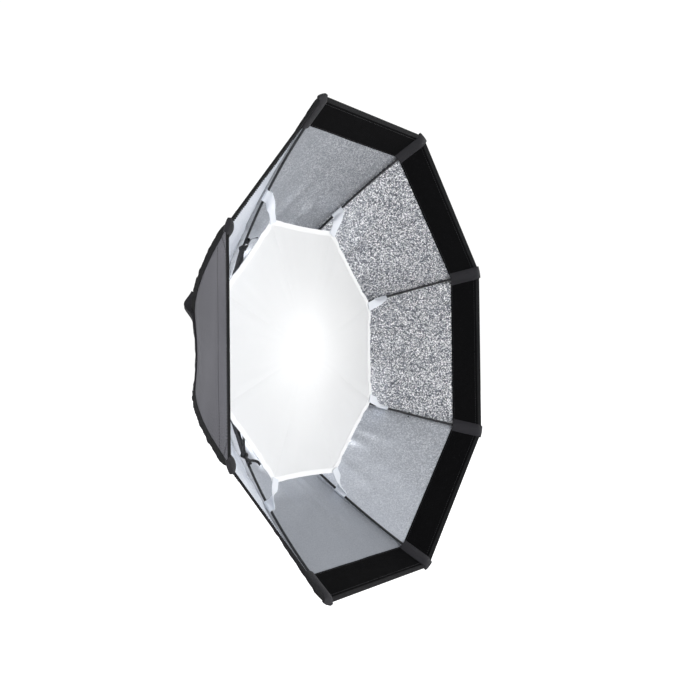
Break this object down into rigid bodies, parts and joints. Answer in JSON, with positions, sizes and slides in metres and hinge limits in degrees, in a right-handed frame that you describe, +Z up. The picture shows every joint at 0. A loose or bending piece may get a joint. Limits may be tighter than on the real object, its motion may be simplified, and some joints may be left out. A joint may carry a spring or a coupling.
{
  "type": "studio softbox",
  "caption": "Folding octagonal studio softbox on a ribbed umbrella frame, with silver lining, inner diffuser and a bayonet speedring.",
  "frame": {"origin": "centre of the speedring's rear face, where it bears on the lamp, on the axis of the throat", "axes": "+Y points out of the back towards the lamp, the front opening faces -Y, +Z is up, +X is to the right seen from the front"},
  "size_m": [0.8776, 0.3933, 0.8776],
  "materials": {
    "shell_cloth": "black nylon outside, silver pebbled lining inside",
    "hook_band": "matte loop pile",
    "black_webbing": "woven webbing",
    "diffuser_cloth": "thin white polyester",
    "rib_rod": "black coated spring steel",
    "steel": "plated",
    "alloy": "satin",
    "dark_metal": "black powder coat",
    "black_plastic": "matte"
  },
  "bodies": {
    "hub": {"speedring": "alloy", "hub_ring": "dark_metal", "hub_screws": "steel", "guide_posts": "steel", "post_caps": "black_plastic", "strut_pins": "steel", "rear_collar": "black_webbing"},
    "runner": {"runner_ring": "dark_metal", "rib_pins": "steel"},
    "rib_1": {"rib_1": "rib_rod", "rim_band_1": "hook_band", "tip_pocket_1": "black_webbing"},
    "strut_1": {"strut_1": "dark_metal"},
    "rib_2": {"rib_2": "rib_rod", "rim_band_2": "hook_band", "tip_pocket_2": "black_webbing"},
    "strut_2": {"strut_2": "dark_metal"},
    "rib_3": {"rib_3": "rib_rod", "rim_band_3": "hook_band", "tip_pocket_3": "black_webbing"},
    "strut_3": {"strut_3": "dark_metal"},
    "rib_4": {"rib_4": "rib_rod", "rim_band_4": "hook_band", "tip_pocket_4": "black_webbing"},
    "strut_4": {"strut_4": "dark_metal"},
    "rib_5": {"rib_5": "rib_rod", "rim_band_5": "hook_band", "tip_pocket_5": "black_webbing"},
    "strut_5": {"strut_5": "dark_metal"},
    "rib_6": {"rib_6": "rib_rod", "rim_band_6": "hook_band", "tip_pocket_6": "black_webbing"},
    "strut_6": {"strut_6": "dark_metal"},
    "rib_7": {"rib_7": "rib_rod", "rim_band_7": "hook_band", "tip_pocket_7": "black_webbing"},
    "strut_7": {"strut_7": "dark_metal"},
    "rib_8": {"rib_8": "rib_rod", "rim_band_8": "hook_band", "tip_pocket_8": "black_webbing", "closure_strap": "black_webbing"},
    "strut_8": {"strut_8": "dark_metal"},
    "pleat_1_a": {"gore_1_a": "shell_cloth"},
    "pleat_1_b": {"gore_1_b": "shell_cloth"},
    "pleat_2_a": {"gore_2_a": "shell_cloth"},
    "pleat_2_b": {"gore_2_b": "shell_cloth"},
    "pleat_3_a": {"gore_3_a": "shell_cloth"},
    "pleat_3_b": {"gore_3_b": "shell_cloth"},
    "pleat_4_a": {"gore_4_a": "shell_cloth"},
    "pleat_4_b": {"gore_4_b": "shell_cloth"},
    "pleat_5_a": {"gore_5_a": "shell_cloth"},
    "pleat_5_b": {"gore_5_b": "shell_cloth"},
    "pleat_6_a": {"gore_6_a": "shell_cloth"},
    "pleat_6_b": {"gore_6_b": "shell_cloth"},
    "pleat_7_a": {"gore_7_a": "shell_cloth"},
    "pleat_7_b": {"gore_7_b": "shell_cloth"},
    "pleat_8_a": {"gore_8_a": "shell_cloth"},
    "pleat_8_b": {"gore_8_b": "shell_cloth"},
    "diffuser": {"inner_diffuser": "diffuser_cloth", "diffuser_straps": "diffuser_cloth"}
  },
  "joints": [
    {"name": "runner_slide", "type": "slide", "parent": "hub", "child": "runner", "axis": [0, 1, 0], "range_m": [0, 0.0216]},
    {"name": "rib_1_fold", "type": "hinge", "parent": "runner", "child": "rib_1", "pos_m": [-0.03253, -0.0736, 0.07853], "axis": [0.9239, 0, 0.3827], "range_deg": [0, 56], "deforming": ["rim_band_1"]},
    {"name": "rib_2_fold", "type": "hinge", "parent": "runner", "child": "rib_2", "pos_m": [0.03253, -0.0736, 0.07853], "axis": [0.9239, 0, -0.3827], "range_deg": [0, 56.2], "deforming": ["rim_band_2"]},
    {"name": "rib_3_fold", "type": "hinge", "parent": "runner", "child": "rib_3", "pos_m": [0.07853, -0.0736, 0.03253], "axis": [0.3827, 0, -0.9239], "range_deg": [0, 56.2], "deforming": ["rim_band_3"]},
    {"name": "rib_4_fold", "type": "hinge", "parent": "runner", "child": "rib_4", "pos_m": [0.07853, -0.0736, -0.03253], "axis": [-0.3827, 0, -0.9239], "range_deg": [0, 56.2], "deforming": ["rim_band_4"]},
    {"name": "rib_5_fold", "type": "hinge", "parent": "runner", "child": "rib_5", "pos_m": [0.03253, -0.0736, -0.07853], "axis": [-0.9239, 0, -0.3827], "range_deg": [0, 56.2], "deforming": ["rim_band_5"]},
    {"name": "rib_6_fold", "type": "hinge", "parent": "runner", "child": "rib_6", "pos_m": [-0.03253, -0.0736, -0.07853], "axis": [-0.9239, 0, 0.3827], "range_deg": [0, 56.2], "deforming": ["rim_band_6"]},
    {"name": "rib_7_fold", "type": "hinge", "parent": "runner", "child": "rib_7", "pos_m": [-0.07853, -0.0736, -0.03253], "axis": [-0.3827, 0, 0.9239], "range_deg": [0, 56.2], "deforming": ["rim_band_7"]},
    {"name": "rib_8_fold", "type": "hinge", "parent": "runner", "child": "rib_8", "pos_m": [-0.07853, -0.0736, 0.03253], "axis": [0.3827, 0, 0.9239], "range_deg": [0, 56.2], "deforming": ["rim_band_8", "closure_strap"]},
    {"name": "strut_1_turn", "type": "hinge", "parent": "rib_1", "child": "strut_1", "pos_m": [-0.08362, -0.121, 0.20187], "axis": [-0.9239, 0, -0.3827], "range_deg": [0, 15.19]},
    {"name": "strut_2_turn", "type": "hinge", "parent": "rib_2", "child": "strut_2", "pos_m": [0.08362, -0.121, 0.20187], "axis": [-0.9239, 0, 0.3827], "range_deg": [0, 15.19]},
    {"name": "strut_3_turn", "type": "hinge", "parent": "rib_3", "child": "strut_3", "pos_m": [0.20187, -0.121, 0.08362], "axis": [-0.3827, 0, 0.9239], "range_deg": [0, 15.19]},
    {"name": "strut_4_turn", "type": "hinge", "parent": "rib_4", "child": "strut_4", "pos_m": [0.20187, -0.121, -0.08362], "axis": [0.3827, 0, 0.9239], "range_deg": [0, 15.19]},
    {"name": "strut_5_turn", "type": "hinge", "parent": "rib_5", "child": "strut_5", "pos_m": [0.08362, -0.121, -0.20187], "axis": [0.9239, 0, 0.3827], "range_deg": [0, 15.19]},
    {"name": "strut_6_turn", "type": "hinge", "parent": "rib_6", "child": "strut_6", "pos_m": [-0.08362, -0.121, -0.20187], "axis": [0.9239, 0, -0.3827], "range_deg": [0, 15.19]},
    {"name": "strut_7_turn", "type": "hinge", "parent": "rib_7", "child": "strut_7", "pos_m": [-0.20187, -0.121, -0.08362], "axis": [0.3827, 0, -0.9239], "range_deg": [0, 15.19]},
    {"name": "strut_8_turn", "type": "hinge", "parent": "rib_8", "child": "strut_8", "pos_m": [-0.20187, -0.121, 0.08362], "axis": [-0.3827, 0, -0.9239], "range_deg": [0, 15.19]},
    {"name": "pleat_1_a_turn", "type": "hinge", "parent": "rib_1", "child": "pleat_1_a", "pos_m": [-0.09326, -0.1176, 0.22515], "axis": [-0.2571, -0.7406, 0.6208], "range_deg": [0, 84.3], "deforming": ["gore_1_a"]},
    {"name": "pleat_1_b_turn", "type": "hinge", "parent": "rib_2", "child": "pleat_1_b", "pos_m": [0.09326, -0.1176, 0.22515], "axis": [-0.2571, 0.7406, -0.6208], "range_deg": [0, 84.3], "deforming": ["gore_1_b"]},
    {"name": "pleat_2_a_turn", "type": "hinge", "parent": "rib_2", "child": "pleat_2_a", "pos_m": [0.09326, -0.1176, 0.22515], "axis": [0.2571, -0.7406, 0.6208], "range_deg": [0, 84.3], "deforming": ["gore_2_a"]},
    {"name": "pleat_2_b_turn", "type": "hinge", "parent": "rib_3", "child": "pleat_2_b", "pos_m": [0.22515, -0.1176, 0.09326], "axis": [-0.6208, 0.7406, -0.2571], "range_deg": [0, 84.3], "deforming": ["gore_2_b"]},
    {"name": "pleat_3_a_turn", "type": "hinge", "parent": "rib_3", "child": "pleat_3_a", "pos_m": [0.22515, -0.1176, 0.09326], "axis": [0.6208, -0.7406, 0.2571], "range_deg": [0, 84.3], "deforming": ["gore_3_a"]},
    {"name": "pleat_3_b_turn", "type": "hinge", "parent": "rib_4", "child": "pleat_3_b", "pos_m": [0.22515, -0.1176, -0.09326], "axis": [-0.6208, 0.7406, 0.2571], "range_deg": [0, 84.3], "deforming": ["gore_3_b"]},
    {"name": "pleat_4_a_turn", "type": "hinge", "parent": "rib_4", "child": "pleat_4_a", "pos_m": [0.22515, -0.1176, -0.09326], "axis": [0.6208, -0.7406, -0.2571], "range_deg": [0, 84.3], "deforming": ["gore_4_a"]},
    {"name": "pleat_4_b_turn", "type": "hinge", "parent": "rib_5", "child": "pleat_4_b", "pos_m": [0.09326, -0.1176, -0.22515], "axis": [-0.2571, 0.7406, 0.6208], "range_deg": [0, 84.3], "deforming": ["gore_4_b"]},
    {"name": "pleat_5_a_turn", "type": "hinge", "parent": "rib_5", "child": "pleat_5_a", "pos_m": [0.09326, -0.1176, -0.22515], "axis": [0.2571, -0.7406, -0.6208], "range_deg": [0, 84.3], "deforming": ["gore_5_a"]},
    {"name": "pleat_5_b_turn", "type": "hinge", "parent": "rib_6", "child": "pleat_5_b", "pos_m": [-0.09326, -0.1176, -0.22515], "axis": [0.2571, 0.7406, 0.6208], "range_deg": [0, 84.3], "deforming": ["gore_5_b"]},
    {"name": "pleat_6_a_turn", "type": "hinge", "parent": "rib_6", "child": "pleat_6_a", "pos_m": [-0.09326, -0.1176, -0.22515], "axis": [-0.2571, -0.7406, -0.6208], "range_deg": [0, 84.3], "deforming": ["gore_6_a"]},
    {"name": "pleat_6_b_turn", "type": "hinge", "parent": "rib_7", "child": "pleat_6_b", "pos_m": [-0.22515, -0.1176, -0.09326], "axis": [0.6208, 0.7406, 0.2571], "range_deg": [0, 84.3], "deforming": ["gore_6_b"]},
    {"name": "pleat_7_a_turn", "type": "hinge", "parent": "rib_7", "child": "pleat_7_a", "pos_m": [-0.22515, -0.1176, -0.09326], "axis": [-0.6208, -0.7406, -0.2571], "range_deg": [0, 84.3], "deforming": ["gore_7_a"]},
    {"name": "pleat_7_b_turn", "type": "hinge", "parent": "rib_8", "child": "pleat_7_b", "pos_m": [-0.22515, -0.1176, 0.09326], "axis": [0.6208, 0.7406, -0.2571], "range_deg": [0, 84.3], "deforming": ["gore_7_b"]},
    {"name": "pleat_8_a_turn", "type": "hinge", "parent": "rib_8", "child": "pleat_8_a", "pos_m": [-0.22515, -0.1176, 0.09326], "axis": [-0.6208, -0.7406, 0.2571], "range_deg": [0, 84.3], "deforming": ["gore_8_a"]},
    {"name": "pleat_8_b_turn", "type": "hinge", "parent": "rib_1", "child": "pleat_8_b", "pos_m": [-0.09326, -0.1176, 0.22515], "axis": [0.2571, 0.7406, -0.6208], "range_deg": [0, 84.3], "deforming": ["gore_8_b"]},
    {"name": "diffuser_shift", "type": "slide", "parent": "hub", "child": "diffuser", "axis": [0, -1, 0], "range_m": [0, 0.109], "deforming": ["inner_diffuser", "diffuser_straps"]}
  ],
  "couplings": [
    {"joint": "runner_slide", "follows": "rib_1_fold", "m_per_rad": 0.021883},
    {"joint": "rib_2_fold", "follows": "rib_1_fold", "ratio": 1},
    {"joint": "rib_3_fold", "follows": "rib_1_fold", "ratio": 1},
    {"joint": "rib_4_fold", "follows": "rib_1_fold", "ratio": 1},
    {"joint": "rib_5_fold", "follows": "rib_1_fold", "ratio": 1},
    {"joint": "rib_6_fold", "follows": "rib_1_fold", "ratio": 1},
    {"joint": "rib_7_fold", "follows": "rib_1_fold", "ratio": 1},
    {"joint": "rib_8_fold", "follows": "rib_1_fold", "ratio": 1},
    {"joint": "strut_1_turn", "follows": "rib_1_fold", "ratio": 0.26759},
    {"joint": "strut_2_turn", "follows": "rib_1_fold", "ratio": 0.26759},
    {"joint": "strut_3_turn", "follows": "rib_1_fold", "ratio": 0.26759},
    {"joint": "strut_4_turn", "follows": "rib_1_fold", "ratio": 0.26759},
    {"joint": "strut_5_turn", "follows": "rib_1_fold", "ratio": 0.26759},
    {"joint": "strut_6_turn", "follows": "rib_1_fold", "ratio": 0.26759},
    {"joint": "strut_7_turn", "follows": "rib_1_fold", "ratio": 0.26759},
    {"joint": "strut_8_turn", "follows": "rib_1_fold", "ratio": 0.26759},
    {"joint": "pleat_1_a_turn", "follows": "rib_1_fold", "ratio": 1.5},
    {"joint": "pleat_1_b_turn", "follows": "rib_1_fold", "ratio": 1.5},
    {"joint": "pleat_2_a_turn", "follows": "rib_1_fold", "ratio": 1.5},
    {"joint": "pleat_2_b_turn", "follows": "rib_1_fold", "ratio": 1.5},
    {"joint": "pleat_3_a_turn", "follows": "rib_1_fold", "ratio": 1.5},
    {"joint": "pleat_3_b_turn", "follows": "rib_1_fold", "ratio": 1.5},
    {"joint": "pleat_4_a_turn", "follows": "rib_1_fold", "ratio": 1.5},
    {"joint": "pleat_4_b_turn", "follows": "rib_1_fold", "ratio": 1.5},
    {"joint": "pleat_5_a_turn", "follows": "rib_1_fold", "ratio": 1.5},
    {"joint": "pleat_5_b_turn", "follows": "rib_1_fold", "ratio": 1.5},
    {"joint": "pleat_6_a_turn", "follows": "rib_1_fold", "ratio": 1.5},
    {"joint": "pleat_6_b_turn", "follows": "rib_1_fold", "ratio": 1.5},
    {"joint": "pleat_7_a_turn", "follows": "rib_1_fold", "ratio": 1.5},
    {"joint": "pleat_7_b_turn", "follows": "rib_1_fold", "ratio": 1.5},
    {"joint": "pleat_8_a_turn", "follows": "rib_1_fold", "ratio": 1.5},
    {"joint": "pleat_8_b_turn", "follows": "rib_1_fold", "ratio": 1.5},
    {"joint": "diffuser_shift", "follows": "rib_1_fold", "m_per_rad": 0.1105}
  ]
}
